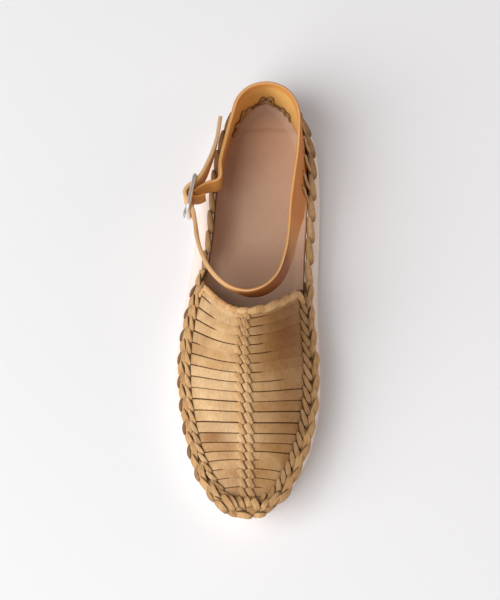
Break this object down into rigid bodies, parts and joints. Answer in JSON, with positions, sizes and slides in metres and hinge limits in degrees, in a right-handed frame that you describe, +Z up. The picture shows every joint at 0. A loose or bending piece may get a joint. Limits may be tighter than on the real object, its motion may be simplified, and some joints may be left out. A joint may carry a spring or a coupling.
{
  "type": "opanak",
  "caption": "Flat woven leather opanak for the right foot, with a turned-up sole, braided rim, plaited vamp, open sides and a buckled ankle strap.",
  "frame": {"origin": "centre of the bounding box in plan, on the floor under the sole", "axes": "+Z up from the floor, toe towards -Y, heel towards +Y, inner (medial) side of the right foot towards +X"},
  "size_m": [0.077, 0.253, 0.0546],
  "materials": {
    "sole_leather": "pale undyed leather, matt",
    "insole_leather": "pinkish beige leather, matt",
    "woven_leather": "khaki tan leather with fine crackle, satin",
    "band_leather": "amber tan leather with natural edges, satin",
    "buckle_steel": "polished steel"
  },
  "bodies": {
    "root": {"sole": "sole_leather", "insole": "insole_leather", "vamp": "woven_leather", "rim_braid": "woven_leather", "ankle_band": "band_leather", "buckle_frame": "buckle_steel", "buckle_prong": "buckle_steel"}
  },
  "joints": []
}
